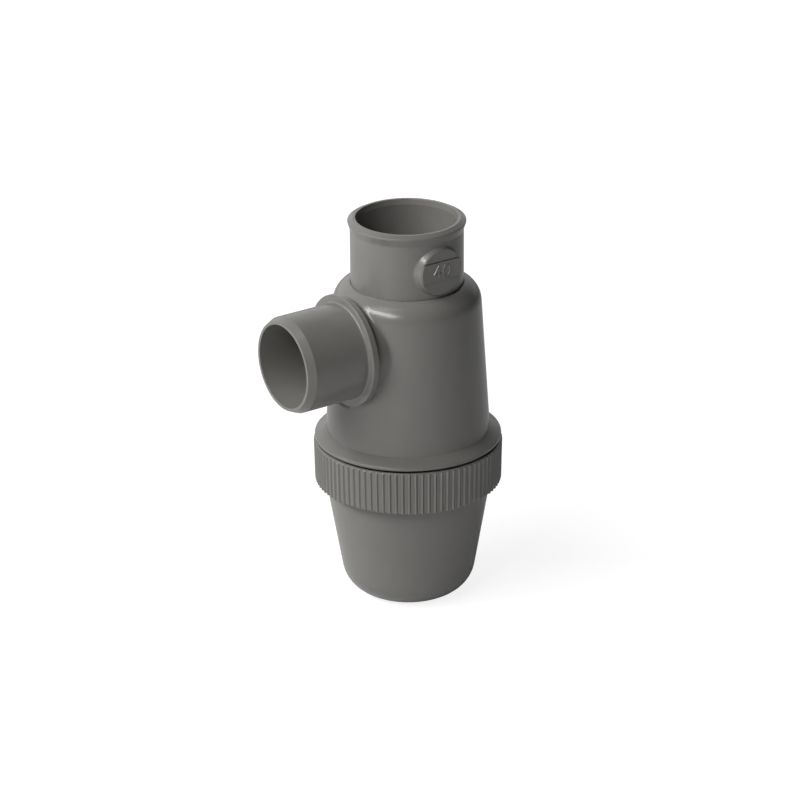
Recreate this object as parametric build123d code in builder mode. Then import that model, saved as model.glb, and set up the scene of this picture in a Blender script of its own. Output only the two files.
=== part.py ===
from build123d import *
from math import cos, radians, sqrt, tan
import os

# Bottle trap for a basin, in millimetres. Z runs up the inlet and the foot of the cup stands on Z = 0.
# The outlet leaves towards -X and the round pad on the inlet tube faces -Y.

# Waste pipe that the inlet takes and the outlet matches
pipe_radius = 20.0

# Thread skirt under the body and the collar that screws onto it
skirt_radius = 34.2
skirt_length = 14.6
skirt_wall = 2.6
thread_space = 2.1
collar_wall = 2.35
collar_draft = 1.1
flange_gap = 0.9

# Cup below the collar
cup_depth = 50.5
cup_draft = 9.6
cup_wall = 2.6
cup_floor = 2.6
foot_rounding = 13.0
collar_underside_rounding = 0.8
collar_edge_rounding = 0.3
ledge_thickness = 2.5
ledge_width = 1.9

# Grip ribs round the collar
rib_count = 90
rib_height = 0.5
rib_foot_width = 1.0
rib_crest_width = 0.35
rib_end_slope = 0.5
rib_root = 0.4
rib_top_margin = 0.9

# Gasket between the ledge and the skirt
gasket_thickness = 2.0
gasket_clearance = 0.2

# Body above the flange
body_height = 68.25
body_draft = 3.65
body_wall = 2.6
shoulder_rounding = 8.8
shoulder_thickness = 2.8
flange_rim_height = 1.4
flange_slope_height = 2.8
flange_edge_rounding = 0.5
flange_root_rounding = 0.4

# Inlet tube, its socket, bead and dip tube
pipe_clearance = 0.2
socket_wall = 2.9
socket_depth = 30.0
mouth_chamfer_width = 0.65
mouth_chamfer_depth = 2.3
tube_rise = 27.45
bead_width = 0.95
bead_land = 0.3
bead_slope_height = 3.0
bead_rounding = 0.6
lip_rounding = 1.4
dip_radius = 20.0
dip_wall = 2.4
water_seal = 50.0

# Neck of the body that holds the inlet tube
neck_depth = 7.0
neck_wall = 2.3
neck_clearance = 0.1
neck_ledge_thickness = 2.0
neck_ledge_clearance = 0.6
neck_edge_chamfer = 0.4

# Round pad on the inlet tube
pad_radius = 9.8
pad_rise = 1.2
pad_draft = 15.0
pad_root = 0.3
pad_drop = 16.3

# Outlet spigot, its collar and stub, and the boss that holds it
spigot_wall = 2.72
spigot_length = 28.2
spigot_chamfer_length = 3.3
spigot_chamfer_depth = 1.5
spigot_root_rounding = 0.8
spigot_collar_rise = 3.3
spigot_collar_thickness = 2.85
spigot_collar_rounding = 0.35
stub_step = 0.8
stub_length = 4.65
stub_clearance = 0.1
boss_wall = 2.2
boss_reach = 29.65
boss_cover = 1.95
pocket_clearance = 0.1
pocket_wall = 2.6

# Heights up the trap
ledge_height = cup_depth + ledge_thickness
skirt_foot = ledge_height + gasket_thickness
body_foot = skirt_foot + skirt_length
collar_top = body_foot - flange_gap
shoulder_top = body_foot + body_height
neck_seat = shoulder_top - neck_depth
tube_top = shoulder_top + tube_rise
bead_corner = tube_top - lip_rounding - bead_land
bead_foot = bead_corner - bead_slope_height
socket_stop = tube_top - socket_depth

# Radii of the cup and its collar
thread_bore = skirt_radius + thread_space
collar_radius = thread_bore + collar_wall
ledge_bore = skirt_radius - ledge_width
cup_slope = tan(radians(cup_draft))
cup_inner_base = ledge_bore - ledge_height * cup_slope
cup_outer_base = cup_inner_base + cup_wall / cos(radians(cup_draft))
collar_slope = tan(radians(collar_draft))

# Radii of the body, the tube and the outlet
body_slope = tan(radians(body_draft))
socket_bore = pipe_radius + pipe_clearance
tube_radius = socket_bore + socket_wall
dip_bore = dip_radius - dip_wall
neck_bore = tube_radius + neck_clearance
neck_outer = neck_bore + neck_wall
neck_hub_foot = neck_seat - neck_ledge_thickness
spigot_bore = pipe_radius - spigot_wall
stub_radius = pipe_radius - stub_step
stub_bore = stub_radius + stub_clearance
boss_radius = stub_bore + boss_wall
spigot_collar_radius = pipe_radius + spigot_collar_rise
pocket_radius = spigot_collar_radius + pocket_clearance

# The outlet's axis lies as high as its boss allows, and the dip tube ends a water seal below the outlet
outlet_height = shoulder_top - boss_cover - boss_radius
dip_foot = outlet_height - spigot_bore - water_seal
collar_face = boss_reach + spigot_collar_thickness
spigot_end = collar_face + spigot_length
stub_end = boss_reach - stub_length
pad_height = tube_top - pad_drop


def cup_outer(height):
    return cup_outer_base + height * cup_slope


def cup_inner(height):
    return cup_inner_base + height * cup_slope


def body_outer(height):
    """Radius of the tapering housing at a height above the flange's foot."""
    return skirt_radius - height * body_slope


def body_inner(height):
    return body_outer(height) - body_wall / cos(radians(body_draft))


def rounded_profile(corners):
    """Closed outline through (x, y, rounding) corners."""
    points = [(x, y) for x, y, _ in corners]
    roundings = [rounding for _, _, rounding in corners]
    with BuildLine() as outline:
        FilletPolyline(*points, radius=roundings, close=True)
    return outline.line


def outlet_plane(reach):
    """Plane across the outlet at a distance from the trap's upright axis, facing out."""
    return Plane(origin=(-reach, 0, outlet_height), x_dir=(0, -1, 0), z_dir=(-1, 0, 0))


outlet_section = Plane(origin=(0, 0, outlet_height), x_dir=(-1, 0, 0), z_dir=(0, 1, 0))
outlet_axis = Axis((0, 0, outlet_height), (-1, 0, 0))

# One grip rib, a ridge that narrows from the collar's wall to its crest
collar_length = collar_top - cup_depth
rib_length = collar_length - rib_top_margin
rib_middle = cup_depth + rib_length / 2
rib_wall_radius = collar_radius - (collar_top - rib_middle) * collar_slope
rib_facing = (cos(radians(collar_draft)), 0, -collar_slope * cos(radians(collar_draft)))
rib_plane = Plane(origin=(rib_wall_radius, 0, rib_middle), x_dir=(0, 1, 0), z_dir=rib_facing)

with BuildPart() as rib:
    with BuildSketch(rib_plane.offset(-rib_root)):
        Rectangle(rib_foot_width, rib_length)
    with BuildSketch(rib_plane.offset(rib_height)):
        Rectangle(rib_crest_width, rib_length - 2 * rib_end_slope)
    loft()

# Cup, turned with its collar, ledge and floor in one section
with BuildPart() as cup:
    with BuildSketch(Plane.XZ):
        add(
            rounded_profile(
                [
                    (0, 0, 0),
                    (cup_outer_base, 0, foot_rounding),
                    (cup_outer(cup_depth), cup_depth, collar_underside_rounding),
                    (collar_radius - collar_length * collar_slope, cup_depth, collar_edge_rounding),
                    (collar_radius, collar_top, collar_edge_rounding),
                    (thread_bore, collar_top, 0),
                    (thread_bore, ledge_height, 0),
                    (ledge_bore, ledge_height, 0),
                    (cup_inner(cup_floor), cup_floor, foot_rounding - cup_wall),
                    (0, cup_floor, 0),
                ]
            )
        )
        make_face()
    revolve(axis=Axis.Z)
    with PolarLocations(0, rib_count):
        add(rib.part)
cup.part.label = "cup"

# Gasket lying on the ledge
with BuildPart() as cup_gasket:
    with BuildSketch(Plane.XY.offset(ledge_height)):
        Circle(thread_bore - gasket_clearance)
        Circle(ledge_bore + gasket_clearance, mode=Mode.SUBTRACT)
    extrude(amount=gasket_thickness)
cup_gasket.part.label = "cup_gasket"

# Hollow of the body, less the neck's hub and the inner hub that carries the outlet's collar
cavity_top = shoulder_top - shoulder_thickness
with BuildPart() as cavity:
    with BuildSketch(Plane.XZ):
        add(
            rounded_profile(
                [
                    (0, skirt_foot, 0),
                    (skirt_radius - skirt_wall, skirt_foot, 0),
                    (body_inner(0), body_foot, 0),
                    (body_inner(cavity_top - body_foot), cavity_top, shoulder_rounding - body_wall),
                    (0, cavity_top, 0),
                ]
            )
        )
        make_face()
    revolve(axis=Axis.Z)
    with BuildSketch(Plane.XY.offset(neck_hub_foot)):
        Circle(neck_outer)
    extrude(amount=neck_depth, mode=Mode.SUBTRACT)
    with BuildSketch(outlet_plane(stub_end)):
        Circle(pocket_radius + pocket_wall)
    extrude(amount=body_outer(0), mode=Mode.SUBTRACT)

# Body, with its skirt, flange, tapering housing, shoulder, boss and neck
flange_top = flange_rim_height + flange_slope_height
with BuildPart() as trap_body:
    with BuildSketch(Plane.XZ):
        add(
            rounded_profile(
                [
                    (0, skirt_foot, 0),
                    (skirt_radius, skirt_foot, 0),
                    (skirt_radius, body_foot, 0),
                    (collar_radius, body_foot, 0),
                    (collar_radius, body_foot + flange_rim_height, flange_edge_rounding),
                    (body_outer(flange_top), body_foot + flange_top, flange_root_rounding),
                    (body_outer(body_height), shoulder_top, shoulder_rounding),
                    (0, shoulder_top, 0),
                ]
            )
        )
        make_face()
    revolve(axis=Axis.Z)
    with BuildSketch(outlet_plane(boss_reach)):
        Circle(boss_radius)
    extrude(amount=-boss_reach)
    add(cavity.part, mode=Mode.SUBTRACT)
    with BuildSketch(outlet_plane(stub_end)):
        Circle(stub_bore)
    extrude(amount=body_outer(0), mode=Mode.SUBTRACT)
    with BuildSketch(outlet_plane(boss_reach)):
        Circle(pocket_radius)
    extrude(amount=body_outer(0), mode=Mode.SUBTRACT)
    with BuildSketch(Plane.XY.offset(neck_seat)):
        Circle(neck_bore)
    extrude(amount=neck_depth, mode=Mode.SUBTRACT)
    with BuildSketch(Plane.XY.offset(neck_hub_foot)):
        Circle(dip_radius + neck_ledge_clearance)
    extrude(amount=neck_ledge_thickness, mode=Mode.SUBTRACT)
    neck_rim = trap_body.edges().filter_by(GeomType.CIRCLE).group_by(Axis.Z)[-1]
    chamfer(neck_rim, neck_edge_chamfer)
trap_body.part.label = "trap_body"

# Inlet tube, turned with its bead and dip tube, then padded and bored
with BuildPart() as inlet_tube:
    with BuildSketch(Plane.XZ):
        add(
            rounded_profile(
                [
                    (0, dip_foot, 0),
                    (dip_radius, dip_foot, 0),
                    (dip_radius, neck_seat, 0),
                    (tube_radius, neck_seat, 0),
                    (tube_radius, bead_foot, bead_slope_height),
                    (tube_radius + bead_width, bead_corner, bead_rounding),
                    (tube_radius + bead_width, tube_top, lip_rounding),
                    (0, tube_top, 0),
                ]
            )
        )
        make_face()
    revolve(axis=Axis.Z)
    pad_face = tube_radius + pad_rise
    pad_depth = pad_face - sqrt(tube_radius**2 - pad_radius**2) + pad_root
    with BuildSketch(Plane.XZ.offset(pad_face)):
        with Locations((0, pad_height)):
            Circle(pad_radius)
    extrude(amount=-pad_depth, taper=-pad_draft)
    with BuildSketch(Plane.XZ):
        with BuildLine():
            Polyline(
                (0, tube_top),
                (socket_bore + mouth_chamfer_width, tube_top),
                (socket_bore, tube_top - mouth_chamfer_depth),
                (socket_bore, socket_stop),
                (dip_bore, socket_stop),
                (dip_bore, dip_foot),
                (0, dip_foot),
                close=True,
            )
        make_face()
    revolve(axis=Axis.Z, mode=Mode.SUBTRACT)
inlet_tube.part.label = "inlet_tube"

# Outlet spigot, turned about the outlet's axis
with BuildPart() as outlet_spigot:
    with BuildSketch(outlet_section):
        add(
            rounded_profile(
                [
                    (stub_end, spigot_bore, 0),
                    (stub_end, stub_radius, 0),
                    (boss_reach, stub_radius, 0),
                    (boss_reach, spigot_collar_radius, spigot_collar_rounding),
                    (collar_face, spigot_collar_radius, spigot_collar_rounding),
                    (collar_face, pipe_radius, spigot_root_rounding),
                    (spigot_end - spigot_chamfer_length, pipe_radius, 0),
                    (spigot_end, pipe_radius - spigot_chamfer_depth, 0),
                    (spigot_end, spigot_bore, 0),
                ]
            )
        )
        make_face()
    revolve(axis=outlet_axis)
outlet_spigot.part.label = "outlet_spigot"

os.makedirs("parts", exist_ok=True)
export_step(trap_body.part, "parts/trap_body.step")
export_step(inlet_tube.part, "parts/inlet_tube.step")
export_step(outlet_spigot.part, "parts/outlet_spigot.step")
export_step(cup.part, "parts/cup.step")
export_step(cup_gasket.part, "parts/cup_gasket.step")
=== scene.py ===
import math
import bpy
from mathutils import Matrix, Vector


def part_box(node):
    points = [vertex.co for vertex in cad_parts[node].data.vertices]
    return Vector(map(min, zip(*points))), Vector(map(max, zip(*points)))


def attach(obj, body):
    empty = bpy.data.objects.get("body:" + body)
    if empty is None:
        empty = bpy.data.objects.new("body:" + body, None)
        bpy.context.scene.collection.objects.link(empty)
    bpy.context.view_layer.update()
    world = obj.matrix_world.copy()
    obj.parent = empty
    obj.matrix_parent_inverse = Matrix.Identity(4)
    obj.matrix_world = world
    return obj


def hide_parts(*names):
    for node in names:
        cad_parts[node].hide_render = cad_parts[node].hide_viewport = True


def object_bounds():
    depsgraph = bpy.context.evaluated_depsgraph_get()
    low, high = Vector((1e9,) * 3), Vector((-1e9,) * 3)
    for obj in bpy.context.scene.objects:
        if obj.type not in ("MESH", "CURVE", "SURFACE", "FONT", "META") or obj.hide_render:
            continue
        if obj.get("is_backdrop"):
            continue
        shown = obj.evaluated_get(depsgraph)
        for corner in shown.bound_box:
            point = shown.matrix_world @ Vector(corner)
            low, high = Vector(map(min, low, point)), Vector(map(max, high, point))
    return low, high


bl_info = {
    "name": "Basin Trap",
    "version": (1, 0, 0),
    "blender": (4, 5, 0),
    "location": "View3D > Sidebar > Basin Trap",
    "description": "Builds a grey plastic bottle trap for a basin around its CAD frame",
    "category": "Add Mesh",
}

import bmesh
import bpy
import numpy as np
from bpy.props import (
    FloatProperty,
    FloatVectorProperty,
    IntProperty,
    PointerProperty,
)
from mathutils import Matrix, Quaternion, Vector

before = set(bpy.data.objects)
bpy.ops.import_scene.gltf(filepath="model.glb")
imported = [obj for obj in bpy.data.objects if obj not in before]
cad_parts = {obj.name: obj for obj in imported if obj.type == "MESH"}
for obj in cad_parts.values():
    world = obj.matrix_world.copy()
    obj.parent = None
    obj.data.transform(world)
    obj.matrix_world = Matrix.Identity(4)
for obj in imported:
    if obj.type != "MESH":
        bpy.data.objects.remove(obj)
cad_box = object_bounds()

MM = 0.001
UP = Vector((0, 0, 1))
OUTLET_SIDE = Vector((-1, 0, 0))
PAD_SIDE = Vector((0, -1, 0))
PLASTIC_SLOT = "grey_plastic"
RUBBER_SLOT = "black_rubber"

body_low, body_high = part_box("trap_body")
tube_low, tube_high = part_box("inlet_tube")
spigot_low, spigot_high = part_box("outlet_spigot")
cup_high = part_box("cup")[1]
gasket_low, gasket_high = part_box("cup_gasket")


def length(name, default, description):
    """A size in metres."""
    return FloatProperty(
        name=name, description=description, default=default, min=0, unit="LENGTH", precision=5
    )


def tilt(name, degrees, description):
    """An angle that is stored in radians."""
    return FloatProperty(
        name=name, description=description, default=math.radians(degrees), subtype="ANGLE"
    )


def share(name, default, description):
    """A plain number from 0 to 1."""
    return FloatProperty(
        name=name, description=description, default=default, min=0, max=1, subtype="FACTOR"
    )


def level(name, default, description):
    """A height above or below a middle, in metres."""
    return FloatProperty(name=name, description=description, default=default, unit="LENGTH", precision=5)


def power(name, default, description):
    """A lamp's power in watts."""
    return FloatProperty(name=name, description=description, default=default, min=0, unit="POWER")


def tint(name, default, description):
    """A linear colour."""
    return FloatVectorProperty(
        name=name, description=description, default=default, size=3, min=0, max=1, subtype="COLOR"
    )


class BodySizes(bpy.types.PropertyGroup):
    """Sizes of the tapering body, its skirt, flange, neck and boss."""

    foot: length("Skirt foot", body_low.z, "Height of the lower end of the threaded skirt")
    mouth: length("Neck mouth", body_high.z, "Height of the neck's mouth, which cuts the shoulder")
    height: length("Height", 68.25 * MM, "Height from the flange's foot to the shoulder's crown")
    flange_radius: length("Flange radius", body_high.y, "Outside radius of the flange")
    skirt_radius: length("Skirt radius", 34.2 * MM, "Outside radius of the skirt under its thread")
    skirt_length: length("Skirt length", 14.6 * MM, "Length of the skirt below the flange")
    wall: length("Wall", 2.6 * MM, "Thickness of the skirt and of the tapering wall")
    draft: tilt("Draft", 3.65, "Lean of the tapering wall")
    shoulder: length("Shoulder rounding", 8.8 * MM, "Radius of the rounded shoulder")
    shoulder_wall: length("Shoulder wall", 2.8 * MM, "Thickness of the shoulder's top")
    rim_height: length("Flange rim", 1.4 * MM, "Height of the flange's upright rim")
    rim_rounding: length("Rim rounding", 0.5 * MM, "Rounding of the rim's two edges")
    slope_height: length("Flange slope", 2.8 * MM, "Height of the slope above the rim")
    slope_root: length("Slope root", 0.12 * MM, "Rounding between the slope and the tapering wall")
    neck_depth: length("Neck depth", 7 * MM, "Depth of the seat below the shoulder's top")
    neck_wall: length("Neck wall", 2.3 * MM, "Wall of the hub round the neck")
    neck_gap: length("Neck gap", 0.1 * MM, "Space between the tube and the neck")
    neck_chamfer: length("Neck chamfer", 0.12 * MM, "Broken edge at the neck's mouth")
    ledge: length("Ledge", 2 * MM, "Thickness of the ledge that the tube rests on")
    ledge_gap: length("Ledge gap", 0.6 * MM, "Space between the dip tube and the ledge")
    boss_radius: length("Boss radius", 21.5 * MM, "Outside radius of the outlet's boss")
    boss_reach: length("Boss reach", 29.65 * MM, "Distance from the upright axis to the boss's end")
    boss_fillet: length("Boss fillet", 0.9 * MM, "Blend between the boss and the tapering wall")
    pocket_radius: length("Pocket radius", 23.32 * MM, "Radius of the pocket round the collar")
    hub_radius: length("Hub radius", 26 * MM, "Radius of the hub behind the boss, inside")

    def crown(self):
        """Height that the shoulder would reach without the neck."""
        return self.foot + self.skirt_length + self.height


class TubeSizes(bpy.types.PropertyGroup):
    """Sizes of the inlet socket, its bead and pad, and of the dip tube."""

    foot: length("Dip tube foot", tube_low.z, "Height of the open lower end of the dip tube")
    top: length("Mouth", tube_high.z, "Height of the mouth")
    bead_radius: length("Bead radius", tube_high.x, "Outside radius of the bead at the mouth")
    radius: length("Socket radius", 23.1 * MM, "Outside radius of the socket")
    bore: length("Socket bore", 20.2 * MM, "Inside radius that takes the waste pipe")
    socket_depth: length("Socket depth", 30 * MM, "Depth of the stop below the mouth")
    mouth_width: length("Mouth chamfer width", 0.65 * MM, "Width of the lead-in at the mouth")
    mouth_depth: length("Mouth chamfer depth", 2.3 * MM, "Depth of the lead-in at the mouth")
    lip_width: length("Lip width", 2.1 * MM, "Width of the shallow slope round the mouth")
    lip_depth: length("Lip depth", 1.1 * MM, "Drop of the shallow slope round the mouth")
    bead_land: length("Bead land", 0.6 * MM, "Height of the bead's upright face")
    bead_slope: length("Bead slope", 3 * MM, "Height of the slope under the bead")
    lip_softness: length("Lip softness", 0.3 * MM, "Rounding of the slope's two edges")
    dip_radius: length("Dip tube radius", 20 * MM, "Outside radius of the dip tube")
    dip_wall: length("Dip tube wall", 2.4 * MM, "Wall of the dip tube")
    pad_radius: length("Pad radius", 9.8 * MM, "Radius of the round pad's face")
    pad_rise: length("Pad rise", 1.2 * MM, "Height of the pad's face above the socket")
    pad_drop: length("Pad drop", 16.3 * MM, "Distance of the pad's centre below the mouth")
    pad_draft: tilt("Pad draft", 15, "Lean of the pad's side")
    band_low: level("Band foot", -3.4 * MM, "Foot of the band, from the pad's centre")
    band_high: level("Band top", 4.45 * MM, "Top of the band, from the pad's centre")
    band_rise: length("Band rise", 0.45 * MM, "Height of the band above the pad")
    band_groove: length("Band groove", 0.5 * MM, "Groove between the band and the plate above it")
    figure_height: length("Figure height", 5 * MM, "Height of the plain figures 40 on the band")
    figure_width: length("Figure width", 3.2 * MM, "Width of one figure")
    stroke: length("Stroke", 0.75 * MM, "Width of a figure's strokes at the foot")
    stroke_rise: length("Stroke rise", 0.25 * MM, "Height of the figures above the band")


class SpigotSizes(bpy.types.PropertyGroup):
    """Sizes of the outlet spigot, its collar and its stub."""

    height: length("Outlet height", (spigot_low.z + spigot_high.z) / 2, "Height of its axis")
    end: length("Reach", -spigot_low.x, "Distance from the upright axis to the open end")
    stub_end: length("Stub end", -spigot_high.x, "Distance from the upright axis to the stub")
    collar_radius: length("Collar radius", spigot_high.y, "Outside radius of the collar")
    collar: length("Collar thickness", 2.85 * MM, "Thickness of the collar")
    collar_rounding: length("Collar rounding", 0.35 * MM, "Rounding of the collar's edges")
    radius: length("Spigot radius", 20 * MM, "Outside radius, that of the waste pipe")
    wall: length("Spigot wall", 2.72 * MM, "Wall of the spigot")
    stub_radius: length("Stub radius", 19.2 * MM, "Outside radius of the stub in the boss")
    stub_bore: length("Stub bore", 19.3 * MM, "Radius of the bore that takes the stub")
    chamfer_length: length("Chamfer length", 3.3 * MM, "Length of the lead at the open end")
    chamfer_depth: length("Chamfer depth", 1.5 * MM, "Depth of the lead at the open end")


class CupSizes(bpy.types.PropertyGroup):
    """Sizes of the cup, its collar, its grip ribs and the thread."""

    top: length("Collar top", cup_high.z, "Height of the collar's upper edge")
    depth: length("Cup depth", 50.5 * MM, "Height of the cup below its collar")
    draft: tilt("Cup draft", 9.6, "Lean of the cup's wall")
    wall: length("Cup wall", 2.6 * MM, "Thickness of the cup's wall and floor")
    foot_rounding: length("Foot rounding", 13 * MM, "Rounding between the wall and the foot")
    collar_radius: length("Collar radius", 38.65 * MM, "Outside radius of the collar at its top")
    collar_draft: tilt("Collar draft", 1.1, "Lean of the collar's wall")
    thread_bore: length("Thread bore", 36.3 * MM, "Inside radius of the collar")
    lead_width: length("Lead-in width", 1.9 * MM, "Width of the lead-in at the thread's mouth")
    lead_depth: length("Lead-in depth", 1.8 * MM, "Depth of the lead-in at the thread's mouth")
    ledge: length("Ledge height", gasket_low.z, "Height of the gasket's ledge")
    ledge_bore: length("Ledge bore", 32.3 * MM, "Inside radius of the ledge")
    ribs: IntProperty(name="Ribs", description="Grip ribs round the collar", default=90, min=3)
    rib_height: length("Rib height", 0.5 * MM, "Height of a rib above the collar's wall")
    rib_foot: length("Rib foot", 1 * MM, "Width of a rib at the wall")
    rib_crest: length("Rib crest", 0.35 * MM, "Width of a rib at its crest")
    rib_margin: length("Rib margin", 0.4 * MM, "Plain band above the ribs")
    pitch: length("Thread pitch", 4 * MM, "Rise of the thread in one turn")
    thread_height: length("Thread height", 1.4 * MM, "Height of the thread's ridge")
    thread_foot: length("Thread foot", 1.6 * MM, "Width of the thread's ridge at its root")
    thread_crest: length("Thread crest", 0.7 * MM, "Width of the thread's ridge at its crest")


class Finish(bpy.types.PropertyGroup):
    """Colours and surface of the plastic and the rubber."""

    plastic: tint("Plastic", (0.2, 0.196, 0.184), "Colour of the moulded grey plastic")
    rubber: tint("Rubber", (0.018, 0.018, 0.019), "Colour of the gasket")
    cloudiness: share("Cloudiness", 0.03, "How far the plastic's grey drifts over the surface")
    roughness: share("Roughness", 0.24, "Roughness of the moulded surface")
    grain: share("Grain", 0.12, "Strength of the fine moulding grain")


class Stage(bpy.types.PropertyGroup):
    """Camera, lamps and backdrop."""

    azimuth: tilt("Azimuth", -34.66, "Turn of the camera round the trap")
    elevation: tilt("Elevation", 23.65, "Height of the camera above the horizon")
    roll: tilt("Roll", -0.331, "Roll of the camera")
    distance: length("Distance", 1357.6 * MM, "Distance from the camera to its target")
    target: length("Target height", 82 * MM, "Height of the point the camera looks at")
    lens: FloatProperty(name="Lens", description="Focal length in mm", default=147.717, unit="CAMERA")
    shift_x: FloatProperty(name="Shift across", default=-0.0098, description="Shift of the picture across")
    shift_y: FloatProperty(name="Shift up", default=0.0070, description="Shift of the picture upwards")
    key: power("Key", 20.2, "Power of the wide soft lamp")
    key_azimuth: tilt("Key azimuth", -95, "Turn of the lamp round the trap")
    key_elevation: tilt("Key elevation", 42, "Height of the lamp above the horizon")
    key_width: length("Key width", 1.7, "Width of the lamp")
    key_height: length("Key height", 0.3, "Height of the lamp")
    upper: power("Upper", 1.6, "Power of the weak lamp above it")
    upper_elevation: tilt("Upper elevation", 64, "Height of the weak lamp above the horizon")
    upper_size: length("Upper size", 0.5, "Width and height of the weak lamp")
    lamp_distance: length("Lamp distance", 1.3, "Distance of both lamps from the trap")
    fill: share("Fill", 0.01, "Strength of the light from all round")
    glow: share("Glow", 0.55, "Strength of the light from the backdrop behind the trap")
    glow_azimuth: tilt("Glow azimuth", 165, "Turn of the backdrop's brightest part round the trap")
    gloss: share("Gloss", 0.06, "How much of the white backdrop and floor shows in the plastic's gloss")
    backdrop: tint("Backdrop", (1, 1, 1), "Colour behind the trap")
    floor: tint("Floor", (0.75, 0.75, 0.75), "Colour of the floor")


class BasinTrap(bpy.types.PropertyGroup):
    """Everything that can be set on the trap."""

    body: PointerProperty(type=BodySizes)
    tube: PointerProperty(type=TubeSizes)
    spigot: PointerProperty(type=SpigotSizes)
    cup: PointerProperty(type=CupSizes)
    finish: PointerProperty(type=Finish)
    stage: PointerProperty(type=Stage)


# Turn from point to point of a rounding, and the angle from which an edge is shaded as one.
ARC_STEP = math.radians(9)
SHARP = math.radians(38)
# Points closer than WELD are joined, and HAIR keeps rings apart that lie close together.
WELD = 0.002 * MM
HAIR = 0.01 * MM
# Longest step of a divided outline.
LONG_RUN = 2.5 * MM
# Columns of the turned meshes and of one grip rib, and how many of the rib's meet one plain column.
BODY_COLUMNS = 240
TUBE_COLUMNS = 192
RIB_COLUMNS = 12
COARSE = 6
# Steps in one turn of a thread, the turn over which it grows out of the wall, and the shares of its
# height and its width that it starts and ends with.
THREAD_STEPS = 96
THREAD_TAPER = math.radians(40)
THREAD_LOW = 0.04
THREAD_THIN = 0.3
# Nearly all of a noise's values lie between these.
NOISE_SPAN = (0.3, 0.7)
# Cosines from the glow's middle between which the backdrop brightens.
GLOW_SPAN = (0.26, 0.97)
# Metres between which the floor fades to white, its brightness at both, and its share of lamp light.
FLOOR_SPAN = (0.2, 0.9)
FLOOR_FADE = (0.86, 1)
FLOOR_LAMPS = 0.45
FLOOR_SIDE = 6.0


def rounded(corners, closed=False):
    """Outline through (radius, height, rounding) corners, with an arc at each rounded one."""
    spots = [Vector((x, y)) for x, y, _ in corners]
    line = []
    for i, (x, y, rounding) in enumerate(corners):
        at_end = not closed and i in (0, len(corners) - 1)
        if rounding == 0 or at_end:
            line.append((x, y))
            continue
        here = spots[i]
        back = (spots[i - 1] - here).normalized()
        ahead = (spots[(i + 1) % len(spots)] - here).normalized()
        half = back.angle(ahead) / 2
        centre = here + (back + ahead).normalized() * (rounding / math.sin(half))
        first = here + back * (rounding / math.tan(half)) - centre
        last = here + ahead * (rounding / math.tan(half)) - centre
        swing = first.angle_signed(last)
        steps = max(3, math.ceil(abs(swing) / ARC_STEP))
        for k in range(steps + 1):
            line.append(tuple(centre + Matrix.Rotation(-swing * k / steps, 2) @ first))
    return line


def divided(line, longest=LONG_RUN, closed=False):
    """The same outline with its long runs cut into shorter ones."""
    cut = []
    pairs = list(zip(line, line[1:] + line[:1]))
    for a, b in pairs if closed else pairs[:-1]:
        parts = max(1, math.ceil(math.dist(a, b) / longest))
        cut += [tuple(np.add(a, np.subtract(b, a) * k / parts)) for k in range(parts)]
    return cut if closed else cut + [line[-1]]

def loop(corners, longest=LONG_RUN):
    """Closed outline with rounded corners and short runs."""
    return divided(rounded(corners, closed=True), longest, closed=True)


def eased(start, corner, end, steps=6):
    """Points that blend from start to end round a corner."""
    ts = [k / steps for k in range(steps + 1)]
    return [
        tuple((1 - t) ** 2 * a + 2 * t * (1 - t) * c + t * t * b for a, c, b in zip(start, corner, end))
        for t in ts
    ]


def placed(name, data):
    """A new object in the scene."""
    item = bpy.data.objects.new(name, data)
    bpy.context.scene.collection.objects.link(item)
    return item


class Shell:
    """Points and faces of one closed mesh."""

    def __init__(self):
        self.points = []
        self.faces = []

    def ring(self, points):
        """Adds points and gives their numbers."""
        first = len(self.points)
        self.points.extend(tuple(p) for p in points)
        return list(range(first, len(self.points)))

    def bridge(self, ring, other):
        """Quads between two closed rings of the same count."""
        for i in range(len(ring)):
            self.faces.append((ring[i - 1], ring[i], other[i], other[i - 1]))

    def cap(self, ring, point):
        """A fan from a ring to a point."""
        pole = self.ring([point])[0]
        for i in range(len(ring)):
            self.faces.append((ring[i - 1], ring[i], pole))

    def sleeve(self, rings, closed=False):
        """Bridges rings in a row, and joins both ends or gives each a face."""
        for ring, other in zip(rings, rings[1:] + (rings[:1] if closed else [])):
            self.bridge(ring, other)
        if not closed:
            self.faces += [tuple(rings[0]), tuple(rings[-1])]

    def piece(self, name, body, node=None, slot=PLASTIC_SLOT):
        """The finished object, smooth, riding on its body."""
        mesh = bpy.data.meshes.new(name)
        mesh.from_pydata(self.points, [], self.faces)
        form = bmesh.new()
        form.from_mesh(mesh)
        bmesh.ops.remove_doubles(form, verts=form.verts, dist=WELD)
        bmesh.ops.recalc_face_normals(form, faces=form.faces)
        form.to_mesh(mesh)
        form.free()
        mesh.polygons.foreach_set("use_smooth", [True] * len(mesh.polygons))
        mesh.set_sharp_from_angle(angle=SHARP)
        mesh.materials.append(MATERIALS[slot](bpy.context.scene.basin_trap.finish))
        piece = placed(name, mesh)
        weighted = piece.modifiers.new("even_shading", "WEIGHTED_NORMAL")
        weighted.keep_sharp = True
        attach(piece, body)
        if node:
            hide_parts(node)


def upright(side):
    """Places (radius, height, angle) round the upright axis, with angle 0 on the given side."""
    across = UP.cross(side)

    def place(radius, height, angle):
        return side * (radius * math.cos(angle)) + across * (radius * math.sin(angle)) + UP * height

    return place


def sideways(side, height):
    """Places (radius, reach, angle) round a level axis that points to a side."""
    middle = UP * height
    across = UP.cross(side)

    def place(radius, reach, angle):
        around = across * (radius * math.cos(angle)) + UP * (radius * math.sin(angle))
        return middle + side * reach + around

    return place


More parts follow.
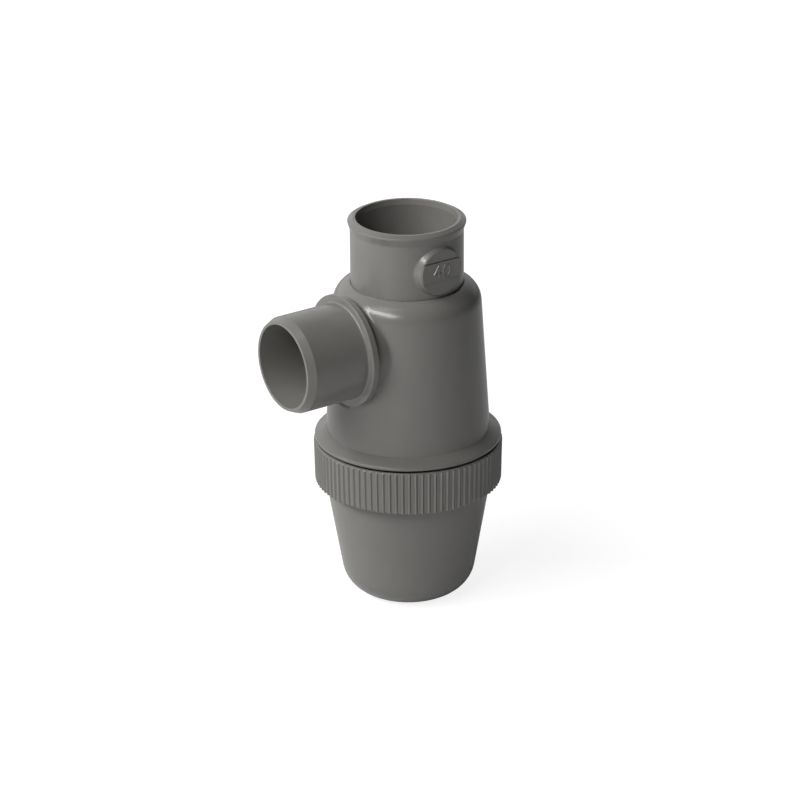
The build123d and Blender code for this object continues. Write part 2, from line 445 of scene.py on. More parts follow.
def turned(shell, line, place, columns, closed=False):
    """Turns an outline into rings and bridges them; a point on the axis becomes a pole."""
    angles = [2 * math.pi * j / columns for j in range(columns)]
    rings = []
    for radius, height in line:
        if radius > WELD:
            rings.append(shell.ring(place(radius, height, a) for a in angles))
        else:
            rings.append(place(0, height, 0))
    for ring, other in zip(rings, rings[1:] + (rings[:1] if closed else [])):
        if isinstance(ring, list) and isinstance(other, list):
            shell.bridge(ring, other)
        elif isinstance(ring, list):
            shell.cap(ring, other)
        else:
            shell.cap(other, ring)
    return rings


class Wall:
    """A turned wall seen along a port that leaves it sideways at a height."""

    def __init__(self, line, place, height):
        line = sorted(line, key=lambda p: p[1])
        self.radii = np.array([p[0] for p in line])
        self.heights = np.array([p[1] for p in line])
        steps = np.hypot(np.diff(self.radii), np.diff(self.heights))
        self.lengths = np.concatenate([[0], np.cumsum(steps)])
        self.place = place
        self.height = height

    def along(self, height):
        """Length along the wall up to a height."""
        return float(np.interp(height, self.heights, self.lengths))

    def at(self, along):
        """Radius and height of the wall at a length along it."""
        return [float(np.interp(along, self.lengths, values)) for values in (self.radii, self.heights)]

    def spot(self, angle, along):
        """Place of the wall at an angle and a length along it."""
        return self.place(*self.at(along), angle)

    def reach(self, rho, phi):
        """Distance along the port to the wall, at a radius and angle about the port's axis."""
        radius = float(np.interp(self.height + rho * math.sin(phi), self.heights, self.radii))
        return math.sqrt(max(0, radius**2 - (rho * math.cos(phi)) ** 2))

    def field(self, radius, phi, clearance):
        """A radius about the port's axis, cut short where it would pass the wall's upper end."""
        ceiling = self.heights[-1] - clearance - self.height
        return min(radius, ceiling / math.sin(phi)) if math.sin(phi) > 0 else radius

    def bearing(self, angle, along):
        """Angle about the port's axis at which a spot of the wall is seen."""
        radius, height = self.at(along)
        return math.atan2(height - self.height, radius * math.sin(angle))

    def lead(self, angle, along, rho, phi, steps):
        """Spots on the wall from its point (angle, along) to radius rho about the port."""
        end_angle = math.atan2(rho * math.cos(phi), self.reach(rho, phi))
        end_along = self.along(self.height + rho * math.sin(phi))
        return [
            self.spot(angle + (end_angle - angle) * t, along + (end_along - along) * t)
            for t in (k / steps for k in range(1, steps + 1))
        ]


def windowed(shell, line, place, columns, windows):
    """Turns a closed outline with windows left open, and gives each window's border back.

    A window is (first row, last row, half angle). A border is a list of (vertex, angle, row).
    """
    middle = columns // 2
    step = 2 * math.pi / columns
    spans = [(low, high, round(half / step)) for low, high, half in windows]
    grid = {}
    for i, (radius, height) in enumerate(line):
        for j in range(columns):
            if not any(low < i < high and abs(j - middle) < wide for low, high, wide in spans):
                grid[i, j] = shell.ring([place(radius, height, step * (j - middle))])[0]
    for i in range(len(line)):
        for j in range(columns):
            if any(low <= i < high and -wide <= j - middle < wide for low, high, wide in spans):
                continue
            k, n = (i + 1) % len(line), (j + 1) % columns
            shell.faces.append((grid[i, j], grid[i, n], grid[k, n], grid[k, j]))
    borders = []
    for low, high, wide in spans:
        left, right = middle - wide, middle + wide
        loop = [(low, j) for j in range(left, right + 1)]
        loop += [(i, right) for i in range(low + 1, high)]
        loop += [(high, j) for j in range(right, left - 1, -1)]
        loop += [(i, left) for i in range(high - 1, low, -1)]
        borders.append([(grid[i, j], step * (j - middle), i) for i, j in loop])
    return borders


def follow(shell, border, path):
    """Closes a window's border along a path from each of its vertices, and gives the last ring."""
    last = [vertex for vertex, _, _ in border]
    for points in zip(*[path(angle, row) for _, angle, row in border]):
        ring = shell.ring(points)
        shell.bridge(last, ring)
        last = ring
    return last


def ridge(shell, frames, section, closed=False):
    """Sweeps a section of (aside, rise) points along frames of (spot, aside, rise) vectors."""
    rings = [shell.ring(spot + aside * u + rise * v for u, v in section) for spot, aside, rise in frames]
    shell.sleeve(rings, closed)


def ridge_section(foot, crest, height, sunk):
    """Section of a moulded ridge with soft crest edges, sunk a little into what carries it."""
    brow = (crest / 2 + 0.1 * height, 0.86 * height)
    side = [(foot / 2, -sunk), (foot / 2, 0), brow, (crest / 2, height)]
    return [(-u, v) for u, v in side] + side[::-1]


def smooth(part):
    """A part from 0 to 1, with a gentle start and end."""
    return part * part * (3 - 2 * part)


def helix_ridge(name, cup, body, root, sign, start, end, phase=0):
    """A thread's ridge that tapers out at both ends; the sign is 1 outside a wall and -1 inside it."""
    place = upright(OUTLET_SIDE)
    section = ridge_section(cup.thread_foot, cup.thread_crest, cup.thread_height, 0.2 * MM)
    whole = (end - start) / cup.pitch * 2 * math.pi
    count = math.ceil(whole / (2 * math.pi) * THREAD_STEPS)
    frames = []
    for k in range(count + 1):
        swing = whole * k / count
        grown = smooth(min(1, swing / THREAD_TAPER, (whole - swing) / THREAD_TAPER))
        ease = THREAD_LOW + (1 - THREAD_LOW) * grown
        height = start + cup.pitch * swing / (2 * math.pi)
        radial = place(sign * ease, 0, swing + phase)
        along = UP * (THREAD_THIN + (1 - THREAD_THIN) * ease)
        frames.append((place(root, height, swing + phase), along, radial))
    shell = Shell()
    ridge(shell, frames, section)
    shell.piece(name, body)


def wired(tree, node, *values, **named):
    """The node, with its inputs set to values, or linked to sockets or to other nodes' first outputs."""
    for key, value in [*enumerate(values), *named.items()]:
        socket = node.inputs[key if isinstance(key, int) else key.replace("_", " ")]
        if isinstance(value, bpy.types.Node):
            value = value.outputs[0]
        if isinstance(value, bpy.types.NodeSocket):
            tree.links.new(value, socket)
        else:
            socket.default_value = value
    return node


def added(tree, kind, *values, **named):
    """A new shader node with its inputs set or linked."""
    return wired(tree, tree.nodes.new("ShaderNode" + kind), *values, **named)


def shader(name):
    """A new material, its node tree and its coordinates."""
    material = bpy.data.materials.new(name)
    material.use_nodes = True
    tree = material.node_tree
    return material, tree, added(tree, "TexCoord").outputs["Object"]


def noise(tree, where, scale, detail, roughness=0.5):
    """A cloudy noise over the coordinates."""
    return added(tree, "TexNoise", Vector=where, Scale=scale, Detail=detail, Roughness=roughness)


def ranged(tree, value, low, high):
    """A noise's value, brought into a range."""
    return added(tree, "MapRange", value, *NOISE_SPAN, low, high)


def bumped(tree, height, strength, distance, **under):
    """A normal that a height tilts, on top of another one where that is given."""
    return added(tree, "Bump", Height=height, Strength=strength, Distance=distance, **under)


def shaded(colour, factor):
    """The colour made lighter or darker, as red, green, blue and 1."""
    return tuple(min(1, c * factor) for c in colour) + (1,)


def drifting(tree, value, colour, amount):
    """The colour, drifting lighter and darker with a noise."""
    ramp = added(tree, "ValToRGB", value)
    stops = ramp.color_ramp.elements
    stops[0].position, stops[1].position = 0.32, 0.68
    stops[0].color = shaded(colour, 1 - amount)
    stops[1].color = shaded(colour, 1 + amount)
    return ramp


def moulded_plastic(finish):
    """Satin grey plastic with a drifting grey, flow marks and a fine moulding grain."""
    found = bpy.data.materials.get("moulded_grey_plastic")
    if found:
        return found
    material, tree, where = shader("moulded_grey_plastic")
    soft = bumped(tree, noise(tree, where, 60, 2), 0.12, 0.05 * MM)
    grain = noise(tree, where, 2600, 2, 0.7)
    sheen = noise(tree, where, 90, 2)
    wired(
        tree,
        tree.nodes["Principled BSDF"],
        Base_Color=drifting(tree, noise(tree, where, 45, 3, 0.6), finish.plastic, finish.cloudiness),
        Roughness=ranged(tree, sheen, finish.roughness - 0.01, finish.roughness + 0.02),
        Normal=bumped(tree, grain, finish.grain, 0.03 * MM, Normal=soft),
    )
    return material


def matt_rubber(finish):
    """Black rubber with bloom and a coarse matt grain."""
    material, tree, where = shader("matt_black_rubber")
    bloom = noise(tree, where, 180, 5, 0.7)
    wired(
        tree,
        tree.nodes["Principled BSDF"],
        Base_Color=drifting(tree, bloom, finish.rubber, 0.3),
        Roughness=ranged(tree, bloom, 0.55, 0.75),
        Normal=bumped(tree, noise(tree, where, 3200, 3, 0.7), 0.35, 0.05 * MM),
    )
    return material


MATERIALS = {PLASTIC_SLOT: moulded_plastic, RUBBER_SLOT: matt_rubber}


class TRAP_OT_body(bpy.types.Operator):
    """Builds the tapering body with its flange, boss and neck, and the thread on its skirt"""

    bl_idname = "mesh.trap_body"
    bl_label = "Trap body"

    def outline(self, body, tube):
        """Closed section of the body's wall."""
        lean = math.tan(body.draft)
        seat = body.foot + body.skirt_length
        ramp = body.rim_height + body.slope_height

        def outer(height):
            return body.skirt_radius - (height - seat) * lean

        def inner(height):
            return outer(height) - body.wall / math.cos(body.draft)

        crown = body.crown()
        roof = crown - body.shoulder_wall
        neck_bore = tube.radius + body.neck_gap
        neck_outer = neck_bore + body.neck_wall
        neck_seat = crown - body.neck_depth
        hub_foot = neck_seat - body.ledge
        ledge_bore = tube.dip_radius + body.ledge_gap
        edge = 0.2 * MM
        mouth = neck_bore + body.neck_chamfer
        shoulder = rounded([
            (body.skirt_radius - body.wall, body.foot, 0),
            (body.skirt_radius, body.foot, 2 * edge),
            (body.skirt_radius, seat, edge),
            (body.flange_radius, seat, body.rim_rounding),
            (body.flange_radius, seat + body.rim_height, body.rim_rounding),
            (outer(seat + ramp), seat + ramp, body.slope_root),
            (outer(crown), crown, body.shoulder),
            (0, crown, 0),
        ])
        outside = [p for p in shoulder if p[0] > mouth + edge]
        outside += rounded([
            (*outside[-1], 0),
            (mouth, body.mouth, edge / 2),
            (neck_bore, body.mouth - body.neck_chamfer, edge / 2),
            (neck_bore, neck_seat, 0),
            (ledge_bore, neck_seat, 0),
            (ledge_bore, hub_foot, 0),
            (neck_outer, hub_foot, edge),
            (neck_outer, roof, 0),
        ])[1:-1]
        inside = rounded([
            (0, roof, 0),
            (inner(roof), roof, body.shoulder - body.wall),
            (inner(seat), seat, 0),
            (body.skirt_radius - body.wall, body.foot, 0),
        ])
        beyond = [p for p in inside if p[0] > neck_outer + edge]
        return divided(outside, 2 * MM) + divided([(neck_outer, beyond[0][1])] + beyond[:-1], 2 * MM)

    def execute(self, context):
        trap = context.scene.basin_trap
        body, spigot = trap.body, trap.spigot
        place = upright(OUTLET_SIDE)
        line = self.outline(body, trap.tube)
        centre = spigot.height
        # A window's half angle and depth below the port, and the radius round the port that it is led to.
        outer_half, outer_depth, outer_field = math.radians(60), 26 * MM, 24.6 * MM
        inner_half, inner_depth, inner_field = math.radians(78), 28 * MM, 27 * MM
        top_row = max(range(len(line)), key=lambda i: line[i][1])
        low_row = max(i for i in range(top_row) if line[i][1] < centre - outer_depth)
        roof_row = len(line) - 1
        while line[roof_row][1] < line[roof_row - 1][1]:
            roof_row -= 1
        floor_row = min(i for i in range(roof_row, len(line)) if line[i][1] < centre - inner_depth)
        shell = Shell()
        windows = [(low_row, top_row, outer_half), (roof_row, floor_row, inner_half)]
        outer_border, inner_border = windowed(shell, line, place, BODY_COLUMNS, windows)
        outer_wall = Wall(line[low_row : top_row + 1], place, centre)
        inner_wall = Wall(line[roof_row : floor_row + 1], place, centre)
        port = sideways(OUTLET_SIDE, centre)

        def outer_path(angle, row):
            """Down the wall, into the collar's pocket, out along the boss and into the stub's bore."""
            along = outer_wall.along(line[row][1])
            phi = outer_wall.bearing(angle, along)
            field = outer_wall.field(outer_field, phi, 0.1 * MM)
            pocket = min(body.pocket_radius, field - 0.05 * MM)
            front = body.boss_reach + spigot.collar - spigot.collar_rounding
            excess = max(0, outer_wall.reach(pocket, phi) - front)
            spots = []
            for part in (k / 6 for k in range(1, 7)):
                rho = field + (pocket + HAIR - field) * part
                spots.append((rho, outer_wall.reach(rho, phi) - excess * part * part))
            foot = body.boss_radius
            fillet = min(body.boss_fillet, pocket - foot - 2 * HAIR)
            corner = outer_wall.reach(foot, phi)
            start = (foot + fillet, outer_wall.reach(foot + fillet, phi))
            end = (foot, corner + body.boss_fillet)
            floor = [(pocket - HAIR, outer_wall.reach(pocket - HAIR, phi))]
            floor += eased(start, (foot, corner), end, 8)
            floor += [(foot, end[1] + 0.5 * MM), (foot, body.boss_reach)]
            spots += [(rho, min(reach, body.boss_reach)) for rho, reach in floor]
            spots.append((spigot.stub_bore, body.boss_reach))
            spots.append((spigot.stub_bore, spigot.stub_end + 0.05 * MM))
            points = outer_wall.lead(angle, along, field, phi, 10)
            return points + [port(rho, reach, phi) for rho, reach in spots]

        def inner_path(angle, row):
            """Down the inner wall, out along the hub and across its face to the stub's bore."""
            along = inner_wall.along(line[row][1])
            phi = inner_wall.bearing(angle, along)
            field = inner_wall.field(inner_field, phi, 0.05 * MM)
            hub = min(body.hub_radius, field - 2 * HAIR)
            mouth = min(spigot.stub_bore - 3 * HAIR, field - 0.1 * MM)
            spots = [(hub + HAIR, inner_wall.reach(hub + HAIR, phi))]
            for k in range(6):
                rho = hub + (mouth - hub) * k / 5
                spots.append((rho, min(spigot.stub_end, inner_wall.reach(rho, phi))))
            points = inner_wall.lead(angle, along, field, phi, 5)
            return points + [port(rho, reach, phi) for rho, reach in spots]

        outer_ring = follow(shell, outer_border, outer_path)
        inner_ring = follow(shell, inner_border, inner_path)
        self.join(shell, outer_ring, inner_ring, centre)
        shell.piece("body_shell", "trap", "trap_body")
        thread = (body.foot + 1.6 * MM, body.foot + 12.8 * MM)
        helix_ridge("skirt_thread", trap.cup, "trap", body.skirt_radius, 1, *thread)
        return {"FINISHED"}

    def join(self, shell, ring, other, centre):
        """Closes the space between two rings of different counts round the outlet's axis."""

        def bearing(vertex):
            point = shell.points[vertex]
            return math.atan2(point[2] - centre, -point[1]) % (2 * math.pi)

        ring = sorted(ring, key=bearing)
        other = sorted(other, key=bearing)
        i = j = 0
        while i < len(ring) or j < len(other):
            a, b = ring[i % len(ring)], other[j % len(other)]
            next_a = bearing(ring[i]) if i < len(ring) else math.inf
            next_b = bearing(other[j]) if j < len(other) else math.inf
            if next_a <= next_b:
                shell.faces.append((ring[i - 1], a, other[j - 1]))
                i += 1
            else:
                shell.faces.append((ring[i - 1], b, other[j - 1]))
                j += 1


class TRAP_OT_inlet(bpy.types.Operator):
    """Builds the inlet socket with its bead, pad and size mark, and the dip tube under it"""

    bl_idname = "mesh.trap_inlet"
    bl_label = "Inlet tube"

    def execute(self, context):
        trap = context.scene.basin_trap
        tube, body = trap.tube, trap.body
        seat = body.crown() - body.neck_depth
        stop = tube.top - tube.socket_depth
        dip_bore = tube.dip_radius - tube.dip_wall
        edge = 0.2 * MM
        land = tube.top - tube.lip_depth
        lip = land - tube.bead_land
        line = loop([
            (tube.dip_radius, tube.foot, edge),
            (tube.dip_radius, seat, 0),
            (tube.radius, seat, edge),
            (tube.radius, lip - tube.bead_slope, tube.bead_slope),
            (tube.bead_radius, lip, edge),
            (tube.bead_radius, land, tube.lip_softness),
            (tube.bead_radius - tube.lip_width, tube.top, tube.lip_softness),
            (tube.bore + tube.mouth_width, tube.top, edge),
            (tube.bore, tube.top - tube.mouth_depth, edge),
            (tube.bore, stop, edge),
            (dip_bore, stop, edge),
            (dip_bore, tube.foot, edge),
        ])
        centre = tube.top - tube.pad_drop
        # The pad's window: its half angle and its ends below and above the pad's centre.
        half, below_pad, above_pad = math.radians(36), 11.6 * MM, 11 * MM
        rows = [i for i, p in enumerate(line) if abs(p[0] - tube.radius) < HAIR]
        low_row = max(i for i in rows if line[i][1] < centre - below_pad)
        high_row = min(i for i in rows if line[i][1] > centre + above_pad)
        place = upright(PAD_SIDE)
        shell = Shell()
        (border,) = windowed(shell, line, place, TUBE_COLUMNS, [(low_row, high_row, half)])
        wall = Wall(line[low_row : high_row + 1], place, centre)
        face = tube.radius + tube.pad_rise
        spot = sideways(PAD_SIDE, centre)
        root, brow = 0.35 * MM, 0.22 * MM

        def path(angle, row):
            """Along the socket to the pad's root, up its side and in over its face."""
            along = wall.along(line[row][1])
            phi = wall.bearing(angle, along)
            lean = math.tan(tube.pad_draft)
            # The socket's wall falls away under the pad's side, so the foot is found in a few rounds.
            foot = tube.pad_radius
            for _ in range(8):
                foot = tube.pad_radius + (face - wall.reach(foot, phi)) * lean
            base = wall.reach(foot, phi)
            up = (face - base) * 0.3
            side = (foot - up * lean, base + up)
            spots = eased((foot + root, wall.reach(foot + root, phi)), (foot, base), side, 5)[1:]
            below = (tube.pad_radius + brow * lean, face - brow)
            spots += eased(below, (tube.pad_radius, face), (tube.pad_radius - brow, face), 5)
            spots += [(tube.pad_radius * part, face) for part in (0.9, 0.6, 0.3)]
            points = wall.lead(angle, along, foot + root, phi, 5)
            return points + [spot(rho, reach, phi) for rho, reach in spots]

        ring = follow(shell, border, path)
        shell.cap(ring, spot(0, face, 0))
        shell.piece("socket_and_dip_tube", "trap", "inlet_tube")
        self.band(tube, face, spot)
        self.figures(tube, face + tube.band_rise, centre)
        return {"FINISHED"}

    def band(self, tube, face, spot):
        """Plain raised band across the pad, and a plate above it."""
        bevel = 0.12 * MM
        brow = tube.pad_radius - 0.2 * MM
        shell = Shell()
        for foot, crown in [(tube.band_low, tube.band_high), (tube.band_high + tube.band_groove, brow)]:
            rings = []
            for inset, rise in [(0, -0.5 * bevel), (0, tube.band_rise - bevel), (bevel, tube.band_rise)]:
                radius = brow - inset
                low, high = (math.asin(min(1, z / radius)) for z in (foot + inset, crown - inset))
                swings = [low + (high - low) * k / 12 for k in range(13)]
                swings += [math.pi - swing for swing in reversed(swings)]
                rings.append(shell.ring(spot(radius, face + rise, swing) for swing in swings))
            shell.sleeve(rings)
        shell.piece("pad_band", "trap")

    def figures(self, tube, face, centre):
        """Plain figures 4 and 0, drawn in strokes, for the size of the waste pipe."""
        tall, wide = tube.figure_height / 2, tube.figure_width / 2
        gap = 0.7 * wide
        section = ridge_section(tube.stroke, 0.5 * tube.stroke, tube.stroke_rise, 0.05 * MM)
        middle = UP * (centre + (tube.band_low + tube.band_high) / 2)
        shell = Shell()

        def drawn(points, closed=False):
            frames = []
            for i, (x, y) in enumerate(points):
                back = Vector(points[i - 1 if closed else max(i - 1, 0)])
                ahead = Vector(points[(i + 1) % len(points) if closed else min(i + 1, len(points) - 1)])
                run = (ahead - back).normalized()
                leg = (Vector((x, y)) - back).normalized() if i or closed else run
                mitre = 1 / max(0.5, abs(run.dot(leg)))
                aside = Vector((-run.y, 0, run.x)) * mitre
                frames.append((middle + PAD_SIDE * face + Vector((x, 0, y)), aside, PAD_SIDE))
            ridge(shell, frames, section, closed)

        four = -wide - gap / 2
        stem = four + 0.4 * wide
        drawn([(stem, tall), (four - wide, -0.3 * tall), (four + wide, -0.3 * tall)])
        drawn([(stem, 0.99 * tall), (stem, -tall)])
        swings = [2 * math.pi * k / 32 for k in range(32)]
        drawn([(wide + gap / 2 + wide * math.cos(a), tall * math.sin(a)) for a in swings], closed=True)
        shell.piece("size_figures", "trap")


class TRAP_OT_outlet(bpy.types.Operator):
    """Builds the chamfered outlet spigot with its collar and stub"""

    bl_idname = "mesh.trap_outlet"
    bl_label = "Outlet spigot"

    def execute(self, context):
        trap = context.scene.basin_trap
        spigot, body = trap.spigot, trap.body
        bore = spigot.radius - spigot.wall
        front = body.boss_reach + spigot.collar
        edge = 0.15 * MM
        line = loop([
            (bore, spigot.stub_end, edge),
            (spigot.stub_radius, spigot.stub_end, edge),
            (spigot.stub_radius, body.boss_reach, 0),
            (spigot.collar_radius, body.boss_reach, spigot.collar_rounding),
            (spigot.collar_radius, front, spigot.collar_rounding),
            (spigot.radius, front, 0.8 * MM),
            (spigot.radius, spigot.end - spigot.chamfer_length, 0.5 * MM),
            (spigot.radius - spigot.chamfer_depth, spigot.end, edge),
            (bore, spigot.end, edge),
        ])
        shell = Shell()
        turned(shell, line, sideways(OUTLET_SIDE, spigot.height), TUBE_COLUMNS, closed=True)
        shell.piece("spigot_and_collar", "trap", "outlet_spigot")
        return {"FINISHED"}


class TRAP_OT_cup(bpy.types.Operator):
    """Builds the cup with its ribbed collar and the thread inside it"""

    bl_idname = "mesh.trap_cup"
    bl_label = "Cup"

    def execute(self, context):
        cup = context.scene.basin_trap.cup
        lean = math.tan(cup.draft)
        inner_base = cup.ledge_bore - cup.ledge * lean
        outer_base = inner_base + cup.wall / math.cos(cup.draft)
        collar_lean = math.tan(cup.collar_draft)
        collar_foot = cup.collar_radius - (cup.top - cup.depth) * collar_lean
        edge = 0.3 * MM
        below = rounded([
            (0, 0, 0),
            (outer_base, 0, cup.foot_rounding),
            (outer_base + cup.depth * lean, cup.depth, 0.8 * MM),
            (collar_foot - 2 * edge, cup.depth, 0),
        ])
        above = rounded([
            (cup.collar_radius - 2 * edge, cup.top, 0),
            (cup.thread_bore + cup.lead_width, cup.top, edge / 2),
            (cup.thread_bore, cup.top - cup.lead_depth, edge),
            (cup.thread_bore, cup.ledge, edge / 2),
            (cup.ledge_bore, cup.ledge, edge / 2),
            (inner_base + cup.wall * lean, cup.wall, cup.foot_rounding - cup.wall),
            (0, cup.wall, 0),
        ])
        count = cup.ribs * RIB_COLUMNS // COARSE
        shell = Shell()
        place = upright(OUTLET_SIDE)
        low_rings = turned(shell, divided(below), place, count)
        high_rings = turned(shell, divided(above), place, count)
        grip = self.grip(shell, cup, collar_foot, collar_lean, edge, place)
        self.stitch(shell, low_rings[-1], grip[0])
        self.stitch(shell, high_rings[0], grip[-1])
        shell.piece("cup_and_collar", "cup", "cup")
        thread = (cup.ledge + 4.2 * MM, cup.top - cup.lead_depth - 0.8 * MM)
        helix_ridge("collar_thread", cup, "cup", cup.thread_bore, -1, *thread, math.radians(234))
        return {"FINISHED"}

    def grip(self, shell, cup, foot, lean, edge, place):
        """Fine rings of the collar's ribbed wall, from its underside to its top."""
        spacing = 2 * math.pi * cup.collar_radius / cup.ribs
        wide, narrow = cup.rib_foot / 2, cup.rib_crest / 2
        # Each rib stands in a shallow groove, whose depth is a share of the rib's height.
        groove_depth, groove_width, root = 0.22, 0.3 * MM, 0.1 * MM
        half = [-spacing / 2, -wide - 0.18 * MM, -wide, -(2 * wide + narrow) / 3, -narrow, -narrow / 2]
        offsets = half + [0] + [-u for u in reversed(half[1:])]
        heights = []
        for u in offsets:
            rise = smooth(min(1, max(0, (wide + root - abs(u)) / (wide + root - narrow * 0.6))))
            heights.append(rise - (groove_depth if 0 < abs(u) - wide < groove_width else 0))
        rows = [(-2 * edge, 0), (-edge, 0), (-0.4 * edge, 0.16 * edge), (0, edge)]
        line = [(foot + inset, cup.depth + rise) for inset, rise in rows]
        # Millimetres from the collar's foot to a rib's upper end, those in which the end fades away, and
        # the share of its height that a rib has at its foot.
        rib_end = (cup.top - cup.depth - cup.rib_margin) / MM
        fade, start = 0.35, 0.95
        rises = [0.6, 0.9, 1.4, 3, 6, 9, 12, 14.5]
        rises += [rib_end - left for left in (1.5, 0.6, fade, 0.2, 0.08, 0)]
        for rise in rises:
            line.append((foot + rise * MM * lean, cup.depth + rise * MM))
        top = [(0, -2 * edge), (0, -edge), (-0.4 * edge, -0.16 * edge), (-edge, 0), (-2 * edge, 0)]
        line += [(cup.collar_radius + inset, cup.top + drop) for inset, drop in top]
        rings = []
        for radius, height in line:
            rise = (height - cup.depth) / MM
            swell = min(1, start + rise) * min(1, max(0, (rib_end - rise) / fade))
            if height <= cup.depth + WELD and radius < foot - 0.5 * edge:
                swell = start * (radius - foot + 2 * edge) / (1.6 * edge)
            points = []
            for rib in range(cup.ribs):
                for u, h in zip(offsets, heights):
                    angle = 2 * math.pi * rib / cup.ribs + u / cup.collar_radius
                    points.append(place(radius + cup.rib_height * swell * h, height, angle))
            rings.append(shell.ring(points))
        for ring, other in zip(rings, rings[1:]):
            shell.bridge(ring, other)
        return rings

    def stitch(self, shell, coarse, fine):
        """Joins a coarse ring to a fine one, with one many-sided face for each coarse edge."""
        half = RIB_COLUMNS // 2
        count = len(fine)
        for k in range(len(coarse)):
            start = k * COARSE + half
            run = [fine[(start + m) % count] for m in range(COARSE, -1, -1)]
            shell.faces.append((coarse[k], coarse[(k + 1) % len(coarse)], *run))


class TRAP_OT_gasket(bpy.types.Operator):
    """Builds the flat rubber gasket on the cup's ledge"""

    bl_idname = "mesh.trap_gasket"
    bl_label = "Gasket"

    def execute(self, context):
        trap = context.scene.basin_trap
        inner = trap.cup.ledge_bore + 0.2 * MM
        edge = 0.3 * MM
        corners = [
            (inner, gasket_low.z, edge),
            (gasket_high.x, gasket_low.z, edge),
            (gasket_high.x, gasket_high.z, edge),
            (inner, gasket_high.z, edge),
        ]
        shell = Shell()
        turned(shell, loop(corners, MM), upright(OUTLET_SIDE), BODY_COLUMNS, closed=True)
        shell.piece("gasket_ring", "gasket", "cup_gasket", RUBBER_SLOT)
        return {"FINISHED"}


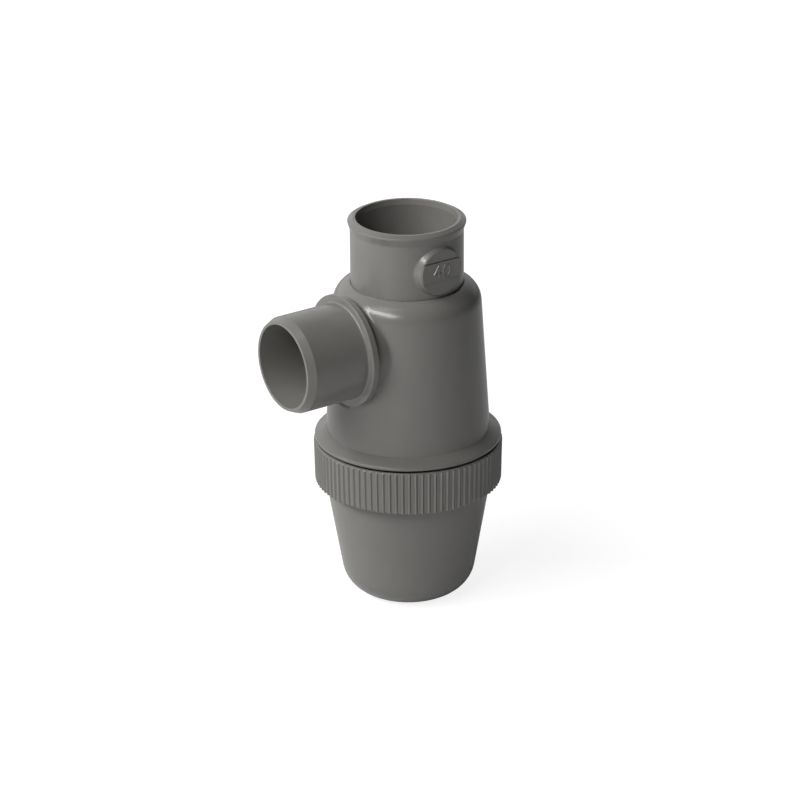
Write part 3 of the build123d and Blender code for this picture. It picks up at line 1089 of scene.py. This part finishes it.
class TRAP_OT_stage(bpy.types.Operator):
    """Sets the pale floor, the soft lamps, the white surroundings and the camera"""

    bl_idname = "scene.trap_stage"
    bl_label = "Stage"

    def white_to_lens(self, tree, lit, shown, gloss):
        """Shows one shader to the camera, a share of it in reflections, and the other to the light."""

        def combined(operation, a, b):
            node = added(tree, "Math", a, b)
            node.operation = operation
            return node

        path = added(tree, "LightPath").outputs
        mirrored = combined("MAXIMUM", path["Is Glossy Ray"], path["Is Transmission Ray"])
        seen = combined("MAXIMUM", path["Is Camera Ray"], combined("MULTIPLY", mirrored, gloss))
        return added(tree, "MixShader", seen, lit, shown)

    def surroundings(self, stage):
        """White to the camera, and a glow on the far side of the trap that fades towards the camera."""
        world = bpy.data.worlds.new("studio")
        world.use_nodes = True
        tree = world.node_tree
        around = added(tree, "TexCoord").outputs["Generated"]
        behind = added(tree, "VectorMath", around, self.towards(stage.glow_azimuth, 0))
        behind.operation = "DOT_PRODUCT"
        fade = added(tree, "MapRange", behind.outputs["Value"], *GLOW_SPAN, stage.fill, stage.glow)
        fade.interpolation_type = "SMOOTHSTEP"
        lit = wired(tree, tree.nodes["Background"], (1, 1, 1, 1), fade)
        shown = added(tree, "Background", (*stage.backdrop, 1))
        wired(tree, tree.nodes["World Output"], self.white_to_lens(tree, lit, shown, fade))
        bpy.context.scene.world = world

    def floor(self, stage):
        """Pale floor under the cup, which sinks as the cup screws down, so that the cup stays on it."""
        material, tree, where = shader("pale_floor")
        tree.nodes.remove(tree.nodes["Principled BSDF"])
        cloud = noise(tree, where, 3, 2)
        lit = added(tree, "BsdfDiffuse", drifting(tree, cloud, stage.floor, 0.01))
        away = added(tree, "VectorMath", where)
        away.operation = "LENGTH"
        fade = added(tree, "MapRange", away.outputs["Value"], *FLOOR_SPAN, *FLOOR_FADE)
        glow = added(tree, "Emission", (*stage.backdrop, 1), fade)
        dim = drifting(tree, cloud, shaded(stage.floor, FLOOR_LAMPS)[:3], 0.01)
        shown = added(tree, "AddShader", glow, added(tree, "BsdfDiffuse", dim))
        wired(tree, tree.nodes["Material Output"], self.white_to_lens(tree, lit, shown, stage.gloss))
        mesh = bpy.data.meshes.new("floor")
        corners = [(x * FLOOR_SIDE, y * FLOOR_SIDE, 0) for x, y in [(-1, -1), (1, -1), (1, 1), (-1, 1)]]
        mesh.from_pydata(corners, [], [(0, 1, 2, 3)])
        mesh.materials.append(material)
        floor = placed("floor", mesh)
        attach(floor, "gasket")
        floor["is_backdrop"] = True

    def towards(self, azimuth, elevation):
        """Direction from the trap to something round it; azimuth 0 is the pad's side."""
        across = math.cos(elevation)
        return Vector((math.sin(azimuth) * across, -math.cos(azimuth) * across, math.sin(elevation)))

    def aim(self, item, stage, azimuth, elevation, distance, roll=0):
        """Sets a lamp or the camera at its place round the trap and aims it at the trap's middle."""
        back = self.towards(azimuth, elevation)
        item.location = UP * stage.target + back * distance
        item.rotation_mode = "QUATERNION"
        item.rotation_quaternion = (-back).to_track_quat("-Z", "Y") @ Quaternion((0, 0, 1), roll)

    def lamp(self, name, stage, power, width, height, elevation):
        """Soft lamp on the outlet's side."""
        light = bpy.data.lights.new(name, "AREA")
        light.shape = "RECTANGLE"
        light.size, light.size_y = width, height
        light.energy = power
        self.aim(placed(name, light), stage, stage.key_azimuth, elevation, stage.lamp_distance)

    def camera(self, stage):
        """The camera, at its place round the trap."""
        data = bpy.data.cameras.new("camera")
        data.sensor_width = 36
        data.lens = stage.lens
        data.shift_x, data.shift_y = stage.shift_x, stage.shift_y
        data.clip_end = 50
        camera = placed("camera", data)
        self.aim(camera, stage, stage.azimuth, stage.elevation, stage.distance, stage.roll)
        bpy.context.scene.camera = camera

    def execute(self, context):
        stage = context.scene.basin_trap.stage
        context.scene.view_settings.view_transform = "Standard"
        self.surroundings(stage)
        self.floor(stage)
        self.lamp("key_lamp", stage, stage.key, stage.key_width, stage.key_height, stage.key_elevation)
        upper = (stage.upper, stage.upper_size, stage.upper_size, stage.upper_elevation)
        self.lamp("upper_lamp", stage, *upper)
        self.camera(stage)
        return {"FINISHED"}


class TRAP_PT_panel(bpy.types.Panel):
    """The trap's pieces, sizes and finish"""

    bl_label = "Basin Trap"
    bl_idname = "TRAP_PT_panel"
    bl_space_type = "VIEW_3D"
    bl_region_type = "UI"
    bl_category = "Basin Trap"

    def draw(self, context):
        trap = context.scene.basin_trap
        for operator in PIECES:
            self.layout.operator(operator.bl_idname)
        for group in (trap.body, trap.tube, trap.spigot, trap.cup, trap.finish, trap.stage):
            box = self.layout.box()
            for name in group.__annotations__:
                box.prop(group, name)


PIECES = (
    TRAP_OT_body,
    TRAP_OT_inlet,
    TRAP_OT_outlet,
    TRAP_OT_cup,
    TRAP_OT_gasket,
    TRAP_OT_stage,
)
CLASSES = (
    BodySizes,
    TubeSizes,
    SpigotSizes,
    CupSizes,
    Finish,
    Stage,
    BasinTrap,
    *PIECES,
    TRAP_PT_panel,
)


def register():
    for item in CLASSES:
        bpy.utils.register_class(item)
    bpy.types.Scene.basin_trap = PointerProperty(type=BasinTrap)


def unregister():
    del bpy.types.Scene.basin_trap
    for item in reversed(CLASSES):
        bpy.utils.unregister_class(item)


def main():
    register()
    bpy.ops.mesh.trap_body()
    bpy.ops.mesh.trap_inlet()
    bpy.ops.mesh.trap_outlet()
    bpy.ops.mesh.trap_cup()
    bpy.ops.mesh.trap_gasket()
    bpy.ops.scene.trap_stage()
    sizes = {"cad": cad_box, "visual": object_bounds()}
    {name: [list(corner) for corner in box] for name, box in sizes.items()}


if __name__ == "__main__":
    main()
